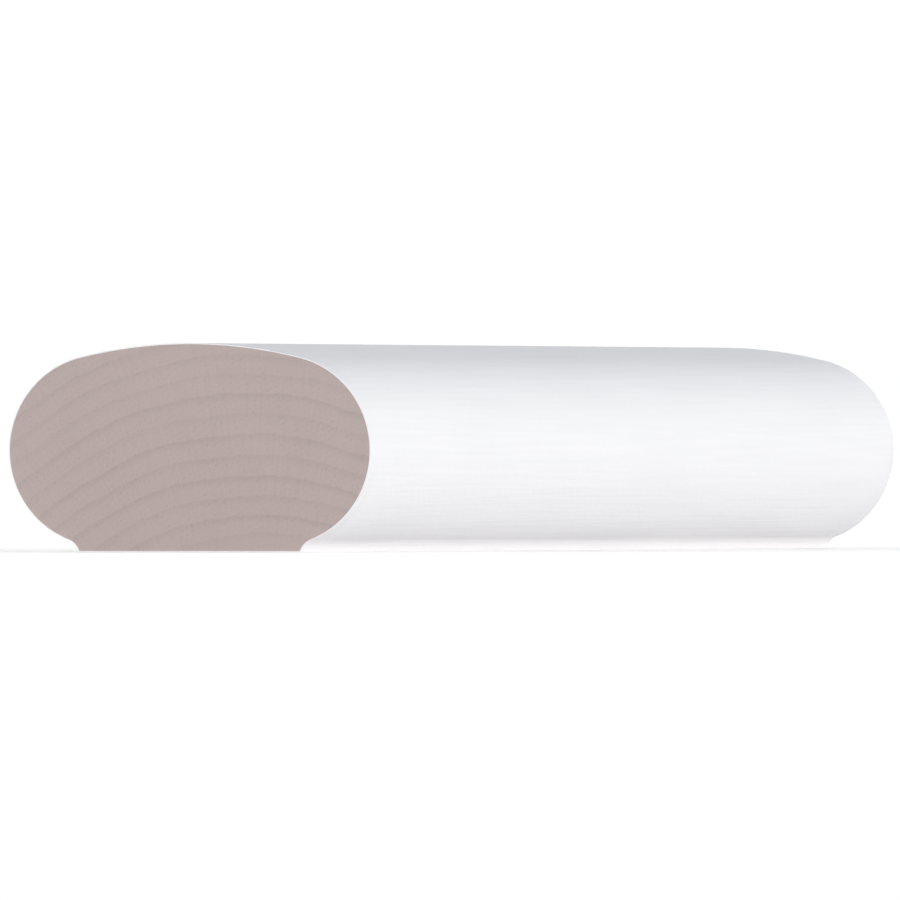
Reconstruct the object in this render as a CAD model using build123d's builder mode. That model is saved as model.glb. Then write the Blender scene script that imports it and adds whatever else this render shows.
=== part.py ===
from build123d import *
import math
import os

# A straight length of moulded handrail: a shallow crown on top, round sides, and a narrow
# flat base that a small cove sets off from each side. Every cross section is the same, and
# both ends are sawn square.
# Millimetres, +Z up. The rail lies on its base, its length runs along Y, and the origin is
# on the base plane under the middle of the rail.

RAIL_LENGTH = 304.8  # a 12 inch length
RAIL_WIDTH = 57.15  # across the round sides, 2 1/4 inch
RAIL_HEIGHT = 31.75  # from the base to the top of the crown, 1 1/4 inch
CROWN_RISE = 1.7  # from the tops of the round sides up to the top of the crown
SIDE_LIFT = 0.85  # from the base plane up to the lowest point of a side's full circle
BASE_WIDTH = 35.0  # the flat that rests on brackets
COVE_REACH = 1.6  # how far a cove spreads outwards from the edge of the base
COVE_DEPTH = 0.26  # hollow of a cove, measured from its chord

# Each side is an arc of a circle that touches the full width of the rail.
side_radius = (RAIL_HEIGHT - CROWN_RISE - SIDE_LIFT) / 2
side_x = RAIL_WIDTH / 2 - side_radius
side_z = SIDE_LIFT + side_radius

# The crown is the one arc that is level at the top of the rail and runs smoothly into both
# sides, so its centre, a side's centre and their shoulder point lie on one line.
crown_radius = side_x**2 / (2 * CROWN_RISE) + side_radius + CROWN_RISE / 2
crown_z = RAIL_HEIGHT - crown_radius
shoulder_angle = math.degrees(math.atan2(side_z - crown_z, side_x))

# A side ends at the neck, the edge where the cove below it begins.
neck_x = BASE_WIDTH / 2 + COVE_REACH
neck_angle = -math.degrees(math.acos((neck_x - side_x) / side_radius))

with BuildPart() as handrail:
    with BuildSketch(Plane.XZ) as section:
        with BuildLine() as outline:
            base = Line((0, 0), (BASE_WIDTH / 2, 0))
            side = CenterArc((side_x, side_z), side_radius, neck_angle, shoulder_angle - neck_angle)
            SagittaArc(base @ 1, side @ 0, COVE_DEPTH)
            CenterArc((0, crown_z), crown_radius, shoulder_angle, 90 - shoulder_angle)
            mirror(about=Plane.YZ)
        make_face()
    extrude(amount=RAIL_LENGTH / 2, both=True)

handrail.part.label = "handrail"

os.makedirs("parts", exist_ok=True)
export_step(handrail.part, "parts/handrail.step")
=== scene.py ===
import math

import bmesh
import bpy
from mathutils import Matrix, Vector


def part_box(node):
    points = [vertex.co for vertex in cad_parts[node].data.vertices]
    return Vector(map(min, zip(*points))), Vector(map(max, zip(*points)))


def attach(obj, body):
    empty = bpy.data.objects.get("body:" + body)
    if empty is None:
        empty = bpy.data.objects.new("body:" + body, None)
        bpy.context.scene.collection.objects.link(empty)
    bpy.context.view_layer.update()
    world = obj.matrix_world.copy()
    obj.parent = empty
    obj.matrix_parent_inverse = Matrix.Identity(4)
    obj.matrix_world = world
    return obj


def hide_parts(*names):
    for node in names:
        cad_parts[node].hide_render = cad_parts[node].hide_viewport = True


# Looks of a primed wooden handrail: white primer on the moulded faces, bare sawn ends.
# Metres, +Z up. The rail lies on its flat base and its length runs along Y.

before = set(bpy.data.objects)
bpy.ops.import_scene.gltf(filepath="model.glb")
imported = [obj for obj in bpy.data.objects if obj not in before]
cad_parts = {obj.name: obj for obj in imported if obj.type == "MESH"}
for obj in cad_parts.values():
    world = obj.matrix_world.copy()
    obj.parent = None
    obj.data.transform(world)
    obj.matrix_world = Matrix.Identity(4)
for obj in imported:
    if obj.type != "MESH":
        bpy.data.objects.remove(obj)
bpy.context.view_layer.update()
rail_low, rail_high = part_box("handrail")

# Section of the rail. Its width, height and length come from the frame.
CROWN_RISE = 0.0017  # from the tops of the round sides up to the top of the crown
SIDE_LIFT = 0.00085  # from the base plane up to the lowest point of a side's full circle
BASE_WIDTH = 0.035  # the flat that the rail lies on
COVE_REACH = 0.0016  # how far a cove spreads outwards from the edge of the base
COVE_DEPTH = 0.00026  # hollow of a cove, measured from its chord

half_width = rail_high.x
rail_height = rail_high.z
rail_length = rail_high.y - rail_low.y

# Each side is an arc that touches the full width, and the crown is one arc that is level at the
# top and runs smoothly into both sides. The shoulder is where they meet, tilted from upright.
side_radius = (rail_height - CROWN_RISE - SIDE_LIFT) / 2
side_centre = Vector((half_width - side_radius, 0, SIDE_LIFT + side_radius))
crown_radius = side_centre.x**2 / (2 * CROWN_RISE) + side_radius + CROWN_RISE / 2
crown_centre = Vector((0, 0, rail_height - crown_radius))
shoulder_tilt = math.atan2(side_centre.x, side_centre.z - crown_centre.z)

# A side ends at the neck, tilted down from level, where the cove below it begins.
base_edge = Vector((BASE_WIDTH / 2, 0, 0))
neck_x = BASE_WIDTH / 2 + COVE_REACH
neck_tilt = math.acos((neck_x - side_centre.x) / side_radius)
neck = Vector((neck_x, 0, side_centre.z - side_radius * math.sin(neck_tilt)))

# Fineness of the mesh.
CROWN_STEPS = 20
SIDE_STEPS = 96
COVE_STEPS = 14
LENGTH_STEPS = 48
ARRIS_STEPS = 2
MERGE_DISTANCE = 0.00001
SMOOTH_ANGLE = math.radians(30)

# Small forms of the sawn ends.
ARRIS_ROUND = 0.0001  # easing of the rim
FILM_EDGE = 0.00008  # width of the line of primer inside the rim
END_FACING = 0.99  # a face turned this much along the rail is an end

MICRON = 1e-6  # the unit of the finishes' relief


class Shade:
    """A socket of a node tree. Arithmetic on it adds Math nodes."""

    def __init__(self, socket):
        self.socket = socket

    def node(self, kind, settings, inputs, output=0):
        """Adds a node of this kind: its settings first, then its sockets' values or links."""
        tree = self.socket.id_data
        made = tree.nodes.new(kind)
        for name, value in settings.items():
            setattr(made, name, value)
        for name, value in inputs.items():
            if isinstance(value, Shade):
                tree.links.new(value.socket, made.inputs[name])
            else:
                made.inputs[name].default_value = value
        return Shade(made.outputs[output])

    def calculate(self, operation, first, second=0.0):
        return self.node("ShaderNodeMath", {"operation": operation}, {0: first, 1: second})

    def __add__(self, other):
        return self.calculate("ADD", self, other)

    def __radd__(self, other):
        return self.calculate("ADD", other, self)

    def __sub__(self, other):
        return self.calculate("SUBTRACT", self, other)

    def __rsub__(self, other):
        return self.calculate("SUBTRACT", other, self)

    def __mul__(self, other):
        return self.calculate("MULTIPLY", self, other)

    def __rmul__(self, other):
        return self.calculate("MULTIPLY", other, self)

    def __truediv__(self, other):
        return self.calculate("DIVIDE", self, other)

    def __rtruediv__(self, other):
        return self.calculate("DIVIDE", other, self)

    def __pow__(self, other):
        return self.calculate("POWER", self, other)

    def __rpow__(self, other):
        return self.calculate("POWER", other, self)

    def whole(self):
        """The whole number below this."""
        return self.calculate("FLOOR", self)

    def fraction(self):
        """What this has above its whole number."""
        return self.calculate("FRACT", self)

    def wave(self, pitch):
        """A sine wave from -1 to 1, once for each pitch."""
        return self.calculate("SINE", self * (2 * math.pi / pitch))

    def smooth_step(self, low, high):
        """0 below low, 1 above high, and an easy curve between them."""
        return self.node(
            "ShaderNodeMapRange",
            {"interpolation_type": "SMOOTHSTEP"},
            {"Value": self, "From Min": low, "From Max": high},
        )

    def blend(self, first, second):
        """A colour from first, where this is 0, to second, where this is 1."""
        settings = {"data_type": "RGBA", "clamp_factor": True}
        return self.node("ShaderNodeMix", settings, {0: self, 6: first, 7: second}, output=2)

    def relief(self):
        """The Normal of a surface that has this height, in microns."""
        return self.node("ShaderNodeBump", {}, {"Distance": MICRON, "Height": self})

    def axes(self):
        """The x, y and z of a vector."""
        split = self.node("ShaderNodeSeparateXYZ", {}, {0: self}).socket.node
        return [Shade(socket) for socket in split.outputs]

    def length(self):
        """The length of a vector."""
        return self.node("ShaderNodeVectorMath", {"operation": "LENGTH"}, {0: self}, output=1)

    def mapped(self, scale, location=(0, 0, 0)):
        """A vector stretched by scale, then moved."""
        return self.node("ShaderNodeMapping", {}, {"Vector": self, "Scale": scale, "Location": location})

    def away_from(self, centre):
        """The way to this place, square to the rail, from a lengthwise line through centre."""
        return self.mapped((1, 0, 1), -centre)

    def cells(self, width, along=None):
        """A vector with one unit to this width, and to another length along the rail."""
        return self.mapped((1 / width, 1 / (along or width), 1 / width))

    def noise(self, detail=2):
        """Smooth noise about 0, one lump to each unit of this vector."""
        inputs = {"Vector": self, "Scale": 1, "Detail": detail}
        return self.node("ShaderNodeTexNoise", {"normalize": True}, inputs) - 0.5

    def lumps(self, width, along=None, detail=2):
        """Smooth noise about 0, in lumps of this width, and of another length along the rail."""
        return self.cells(width, along).noise(detail)


def new_material(name):
    """A material, its Principled shader, and its Object coordinates as a Shade."""
    material = bpy.data.materials.new(name)
    material.use_nodes = True
    nodes = material.node_tree.nodes
    place = Shade(nodes.new("ShaderNodeTexCoord").outputs["Object"])
    return material, nodes["Principled BSDF"], place


def feed(shader, **inputs):
    """Links shades to a shader's sockets, named with underscores for spaces."""
    for name, value in inputs.items():
        socket = shader.inputs[name.replace("_", " ")]
        socket.id_data.links.new(value.socket, socket)


# White primer: its colour where it is thick and where it is thin, and its sheen.
PRIMER_WHITE = (0.868, 0.860, 0.874, 1)
PRIMER_THIN = (0.838, 0.831, 0.846, 1)
PRIMER_ROUGHNESS = 0.72
PRIMER_SPECULAR = 0.45

# Patterns of the primer. Heights are in microns.
CUTTER_PITCH = 0.0018
RIPPLE_HEIGHT = 2
GRAIN_WIDTH = 0.0007
GRAIN_LENGTH = 0.05
GRAIN_HEIGHT = 70
SPRAY_WIDTH = 0.0011
SPRAY_HEIGHT = 45
SPRAY_DULLS = 0.12
CLOUD_WIDTH = 0.012
CLOUD_LENGTH = 0.05
CLOUD_DULLS = 0.1
THIN_SHARE = 0.4
GRAIN_THINS = 2
CLOUD_THINS = 0.9


def primer():
    """White primer: spray texture over the knife ripple and the raised grain of the wood below it."""
    material, shader, place = new_material("white_primer")
    _, along, _ = place.axes()
    ripple = along.wave(CUTTER_PITCH)
    grain = place.lumps(GRAIN_WIDTH, GRAIN_LENGTH, detail=3)
    spray = place.lumps(SPRAY_WIDTH)
    cloud = place.lumps(CLOUD_WIDTH, CLOUD_LENGTH)
    height = ripple * RIPPLE_HEIGHT + grain * GRAIN_HEIGHT + spray * SPRAY_HEIGHT
    thin = THIN_SHARE + grain * GRAIN_THINS + cloud * CLOUD_THINS
    feed(
        shader,
        Base_Color=thin.blend(PRIMER_WHITE, PRIMER_THIN),
        Roughness=PRIMER_ROUGHNESS + spray * SPRAY_DULLS + cloud * CLOUD_DULLS,
        Normal=height.relief(),
    )
    shader.inputs["Specular IOR Level"].default_value = PRIMER_SPECULAR
    return material


# Sawn wood: its colour early and late in a year's growth, and its sheen.
WOOD_EARLY = (0.492, 0.406, 0.387, 1)
WOOD_LATE = (0.392, 0.321, 0.306, 1)
WOOD_ROUGHNESS = 0.85
WOOD_SPECULAR = 0.25

# Growth rings about the pith. Wander bends them and waver frays them, both in shares of a ring.
PITH = Vector((0.011, 0, -0.034))
RING_PITCH = 0.0029
WANDER_WIDTH = 0.03
WANDER_LENGTH = 0.3
WANDER_SHARE = 1.6
WAVER_WIDTH = 0.003
WAVER_LENGTH = 0.1
WAVER_SHARE = 0.22

# Late wood: where in a ring it sets in and is darkest, and how dark it is, by year and by patch.
LATE_START = 0.45
LATE_PEAK = 0.93
LATE_MEAN = 0.6
LATE_BY_YEAR = 0.5
LATE_BY_PATCH = 0.6

# Rays out from the pith, as an angle and a length.
RAY_SPACING = 0.008
RAY_LENGTH = 0.007

# Pores, with the edges of a pore in shares of their spacing.
PORE_SPACING = 0.0007
PORE_LENGTH = 0.01
PORE_INNER = 0.1
PORE_OUTER = 0.3

# Arcs that the saw blade leaves.
BLADE_CENTRE = Vector((0.09, 0, -0.12))
SAW_PITCH = 0.0009
SAW_WANDER = 0.0015
SAW_MEAN = 0.5

# Patches of slightly different wood, and the fuzz of torn fibres.
PATCH_WIDTH = 0.01
PATCH_LENGTH = 0.1
FUZZ_WIDTH = 0.00025
FUZZ_LENGTH = 0.004
FUZZ_DULLS = 0.15

# How far each pattern turns the early colour into the late one.
MEAN_TONE = 0.155
RING_TONE = 0.34
RAY_TONE = 0.4
PORE_TONE = 0.3
SAW_TONE = 0.05
PATCH_TONE = 0.25
FUZZ_TONE = 0.7

# How far each pattern stands up, in microns.
RING_HEIGHT = 3
PORE_HEIGHT = -12
SAW_HEIGHT = 4
FUZZ_HEIGHT = 16


def growth_rings(place, patches):
    """The late wood of each year: it sets in slowly and ends sharply, and some years are darker."""
    wander = place.lumps(WANDER_WIDTH, WANDER_LENGTH, detail=1)
    waver = place.lumps(WAVER_WIDTH, WAVER_LENGTH, detail=3)
    radius = place.away_from(PITH).length()
    years = radius / RING_PITCH + wander * WANDER_SHARE + waver * WAVER_SHARE
    season = years.fraction()
    late = season.smooth_step(LATE_START, LATE_PEAK) * (1 - season.smooth_step(LATE_PEAK, 1))
    year = years.node("ShaderNodeTexWhiteNoise", {"noise_dimensions": "1D"}, {"W": years.whole()})
    return late * (LATE_MEAN + year * LATE_BY_YEAR + patches * LATE_BY_PATCH)


def wood_rays(place):
    """Fine streaks that run out from the pith, across the rings."""
    outward = place.away_from(PITH)
    x, _, z = outward.axes()
    turn = x.calculate("ARCTAN2", x, z)
    inputs = {0: turn / RAY_SPACING, 1: outward.length() / RAY_LENGTH}
    return x.node("ShaderNodeCombineXYZ", {}, inputs).noise()


def wood_pores(place):
    """1 in the open pores and 0 between them."""
    cells = place.cells(PORE_SPACING, PORE_LENGTH)
    distance = cells.node("ShaderNodeTexVoronoi", {}, {"Vector": cells, "Scale": 1})
    return 1 - distance.smooth_step(PORE_INNER, PORE_OUTER)


def saw_arcs(place, patches):
    """Arcs about the blade's centre, plainer in some patches than in others."""
    reach = place.away_from(BLADE_CENTRE).length()
    return (reach + patches * SAW_WANDER).wave(SAW_PITCH) * (SAW_MEAN + patches)


def sawn_wood():
    """Bare end grain: growth rings about a pith below the rail, rays across them, pores and saw arcs."""
    material, shader, place = new_material("sawn_wood")
    patches = place.lumps(PATCH_WIDTH, PATCH_LENGTH)
    fuzz = place.lumps(FUZZ_WIDTH, FUZZ_LENGTH, detail=3)
    rings = growth_rings(place, patches)
    rays = wood_rays(place)
    pores = wood_pores(place)
    arcs = saw_arcs(place, patches)
    tone = MEAN_TONE + rings * RING_TONE + rays * RAY_TONE + pores * PORE_TONE
    tone += arcs * SAW_TONE + patches * PATCH_TONE + fuzz * FUZZ_TONE
    height = rings * RING_HEIGHT + pores * PORE_HEIGHT + arcs * SAW_HEIGHT + fuzz * FUZZ_HEIGHT
    feed(
        shader,
        Base_Color=tone.blend(WOOD_EARLY, WOOD_LATE),
        Roughness=WOOD_ROUGHNESS + fuzz * FUZZ_DULLS,
        Normal=height.relief(),
    )
    shader.inputs["Specular IOR Level"].default_value = WOOD_SPECULAR
    return material


def deselect_all():
    for item in bpy.context.selected_objects:
        item.select_set(False)


def select(kind, wanted):
    """In edit mode, selects only the edges or the faces that wanted accepts."""
    bpy.ops.mesh.select_mode(type=kind)
    bpy.ops.mesh.select_all(action="DESELECT")
    mesh = bpy.context.edit_object.data
    form = bmesh.from_edit_mesh(mesh)
    items = form.edges if kind == "EDGE" else form.faces
    for item in items:
        item.select_set(wanted(item))
    bmesh.update_edit_mesh(mesh)


def is_end(face):
    return abs(face.normal.y) > END_FACING


def is_rim(edge):
    return sum(is_end(face) for face in edge.link_faces) == 1


def is_lengthwise(edge):
    return abs(edge.verts[0].co.y - edge.verts[1].co.y) > rail_length / 2


def spin(angle, centre, steps):
    """Draws an arc on from the selected point, turning about the rail's lengthwise axis."""
    bpy.ops.mesh.spin(steps=steps, angle=angle, center=centre, axis=(0, 1, 0))


def cove_arc():
    """Centre of the cove's arc, outside the rail, and the angle that the arc turns through."""
    chord = neck - base_edge
    radius = (chord.length**2 / 4 + COVE_DEPTH**2) / (2 * COVE_DEPTH)
    outward = Vector((chord.z, 0, -chord.x)).normalized()
    centre = base_edge + chord / 2 + outward * (radius - COVE_DEPTH)
    return centre, 2 * math.asin(chord.length / 2 / radius)


def draw_half_outline():
    """In edit mode, draws the base, a cove, a side and half the crown on from one point."""
    bpy.ops.mesh.select_all(action="SELECT")
    bpy.ops.mesh.merge(type="CENTER")
    bpy.ops.mesh.extrude_region_move(TRANSFORM_OT_translate={"value": base_edge})
    cove_centre, cove_turn = cove_arc()
    spin(-cove_turn, cove_centre, COVE_STEPS)
    spin(math.pi / 2 - shoulder_tilt + neck_tilt, side_centre, SIDE_STEPS)
    spin(shoulder_tilt, crown_centre, CROWN_STEPS)


def mirror_outline(rail):
    """Adds the other half of the outline."""
    mirror = rail.modifiers.new("other_half", "MIRROR")
    mirror.merge_threshold = MERGE_DISTANCE
    bpy.ops.object.modifier_apply(modifier=mirror.name)


def draw_out():
    """In edit mode, fills the outline at the near end and draws it out to the far one."""
    bpy.ops.mesh.select_all(action="SELECT")
    bpy.ops.transform.translate(value=(0, rail_low.y, 0))
    bpy.ops.mesh.edge_face_add()
    bpy.ops.mesh.extrude_region_move(TRANSFORM_OT_translate={"value": (0, rail_length, 0)})
    bpy.ops.mesh.select_all(action="SELECT")
    bpy.ops.mesh.normals_make_consistent(inside=False)


def ease_and_divide():
    """In edit mode, eases the rims of the ends and divides the length."""
    select("EDGE", is_rim)
    bpy.ops.mesh.bevel(offset=ARRIS_ROUND, segments=ARRIS_STEPS, affect="EDGES")
    select("EDGE", is_lengthwise)
    bpy.ops.mesh.subdivide(number_cuts=LENGTH_STEPS - 1)


def finish_faces(rail):
    """In edit mode, puts wood on the ends, inside the line of primer, and primer on all the rest."""
    rail.data.materials.append(primer())
    rail.data.materials.append(sawn_wood())
    select("FACE", is_end)
    bpy.ops.mesh.inset(thickness=FILM_EDGE, use_boundary=True)
    rail.active_material_index = 1
    bpy.ops.object.material_slot_assign()


def model_rail():
    """The rail as one mesh: its outline is filled and drawn out to length, and its ends are eased."""
    deselect_all()
    bpy.ops.mesh.primitive_plane_add(size=BASE_WIDTH)
    rail = bpy.context.object
    rail.name = "primed_rail"
    bpy.ops.object.mode_set(mode="EDIT")
    draw_half_outline()
    bpy.ops.object.mode_set(mode="OBJECT")
    mirror_outline(rail)
    bpy.ops.object.mode_set(mode="EDIT")
    draw_out()
    ease_and_divide()
    finish_faces(rail)
    bpy.ops.object.mode_set(mode="OBJECT")
    bpy.ops.object.shade_smooth_by_angle(angle=SMOOTH_ANGLE)
    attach(rail, "root")
    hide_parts("handrail")


FLOOR_SIZE = 60.0
FLOOR_PALE = (0.95, 0.95, 0.95, 1)  # as it throws light back on the rail
FLOOR_SEEN = (1.76, 1.685, 1.62, 1)  # as it is seen, white where no shadow falls
# Painted shade: the floor is darkened near the rail by ambient occlusion, as the camera sees it.
PAINTED_SHADOW_REACH = 0.06  # how far off the rail the painted shadow reaches
PAINTED_SHADOW_DEPTH = 0.5  # share of its seen brightness that the floor loses to painted shade where the rail hides the whole room
PAINTED_SHADOW_SAMPLES = 4
BLACK = (0, 0, 0, 1)
WHITE = (1, 1, 1, 1)
SEEN_WHITE = 1.03  # strength of the room where it is seen
ZENITH_LIGHT = (0.21, 0.25, 0.29, 1)
HORIZON_LIGHT = (4.06, 3.97, 3.86, 1)
HORIZON_FALL = 3  # how steeply the light falls off above the horizon


def seen_directly(neighbour):
    """1 for the camera and for mirrored or refracted views, 0 for light that falls on things.
    It is made in the node tree of its neighbour."""
    path = neighbour.node("ShaderNodeLightPath", {}, {}).socket.node.outputs
    seen = Shade(path["Is Camera Ray"]) + Shade(path["Is Glossy Ray"])
    return seen + Shade(path["Is Transmission Ray"])


def lay_floor():
    """A pale floor that looks white, apart from the soft shadow beside the rail: real shadow from the
    lights, deepened by painted shade from ambient occlusion that only the camera sees.
    """
    deselect_all()
    bpy.ops.mesh.primitive_plane_add(size=FLOOR_SIZE)
    ground = bpy.context.object
    ground.name = "floor"
    material, shader, place = new_material("pale_floor")
    samples = {"samples": PAINTED_SHADOW_SAMPLES}
    # Painted shade: ambient occlusion near the rail darkens the floor's colour for camera rays.
    open_room = place.node("ShaderNodeAmbientOcclusion", samples, {"Distance": PAINTED_SHADOW_REACH}, output=1)
    camera_ray = place.node("ShaderNodeLightPath", {}, {})
    painted_shadow = (1 - open_room) * PAINTED_SHADOW_DEPTH * camera_ray
    seen = painted_shadow.blend(FLOOR_SEEN, BLACK)
    feed(shader, Base_Color=seen_directly(place).blend(FLOOR_PALE, seen))
    shader.inputs["Roughness"].default_value = 1.0
    shader.inputs["Specular IOR Level"].default_value = 0.0
    ground.data.materials.append(material)


def light_room():
    """Soft light from all round, strongest low down, and white where it is seen directly."""
    world = bpy.data.worlds.new("room")
    bpy.context.scene.world = world
    world.use_nodes = True
    nodes = world.node_tree.nodes
    direction = Shade(nodes.new("ShaderNodeTexCoord").outputs["Generated"])
    _, _, rise = direction.axes()
    low = (1 - rise) ** HORIZON_FALL
    soft = low.node("ShaderNodeBackground", {}, {"Color": low.blend(ZENITH_LIGHT, HORIZON_LIGHT)})
    white = low.node("ShaderNodeBackground", {}, {"Color": WHITE, "Strength": SEEN_WHITE})
    mixed = low.node("ShaderNodeMixShader", {}, {0: seen_directly(low), 1: soft, 2: white})
    world.node_tree.links.new(mixed.socket, nodes["World Output"].inputs["Surface"])


def soft_panel(name, azimuth, distance, width, height, watts):
    """An upright lamp panel that stands on the floor and faces the rail."""
    turn = math.radians(azimuth)
    lamp = bpy.data.lights.new(name, "AREA")
    lamp.shape = "RECTANGLE"
    lamp.size = width
    lamp.size_y = height
    lamp.energy = watts
    panel = bpy.data.objects.new(name, lamp)
    panel.location = (math.sin(turn) * distance, -math.cos(turn) * distance, height / 2)
    panel.rotation_euler = (math.pi / 2, 0, turn)
    panel.visible_camera = False
    bpy.context.scene.collection.objects.link(panel)


LENS = 1700.0  # millimetres, as is the sensor
SENSOR = 36.0
VIEW_AZIMUTH = math.radians(15.663)
VIEW_DISTANCE = 6.592
AIM_SIDE = -0.00164  # to the right of the rail's middle, as the camera sees it
AIM_HEIGHT = 0.01549


def place_camera():
    """A level view past the near end, from so far away that the long edges stay almost parallel."""
    view = bpy.data.cameras.new("view")
    view.lens = LENS
    view.sensor_width = SENSOR
    camera = bpy.data.objects.new("view", view)
    back = Vector((math.sin(VIEW_AZIMUTH), -math.cos(VIEW_AZIMUTH), 0))
    right = Vector((math.cos(VIEW_AZIMUTH), math.sin(VIEW_AZIMUTH), 0))
    camera.location = right * AIM_SIDE + back * VIEW_DISTANCE + Vector((0, 0, AIM_HEIGHT))
    camera.rotation_euler = (math.pi / 2, 0, VIEW_AZIMUTH)
    bpy.context.scene.collection.objects.link(camera)
    bpy.context.scene.camera = camera


model_rail()
lay_floor()
light_room()
soft_panel("key_panel", azimuth=75, distance=2.0, width=1.6, height=0.3, watts=4.5)
place_camera()
bpy.context.scene.view_settings.view_transform = "Standard"
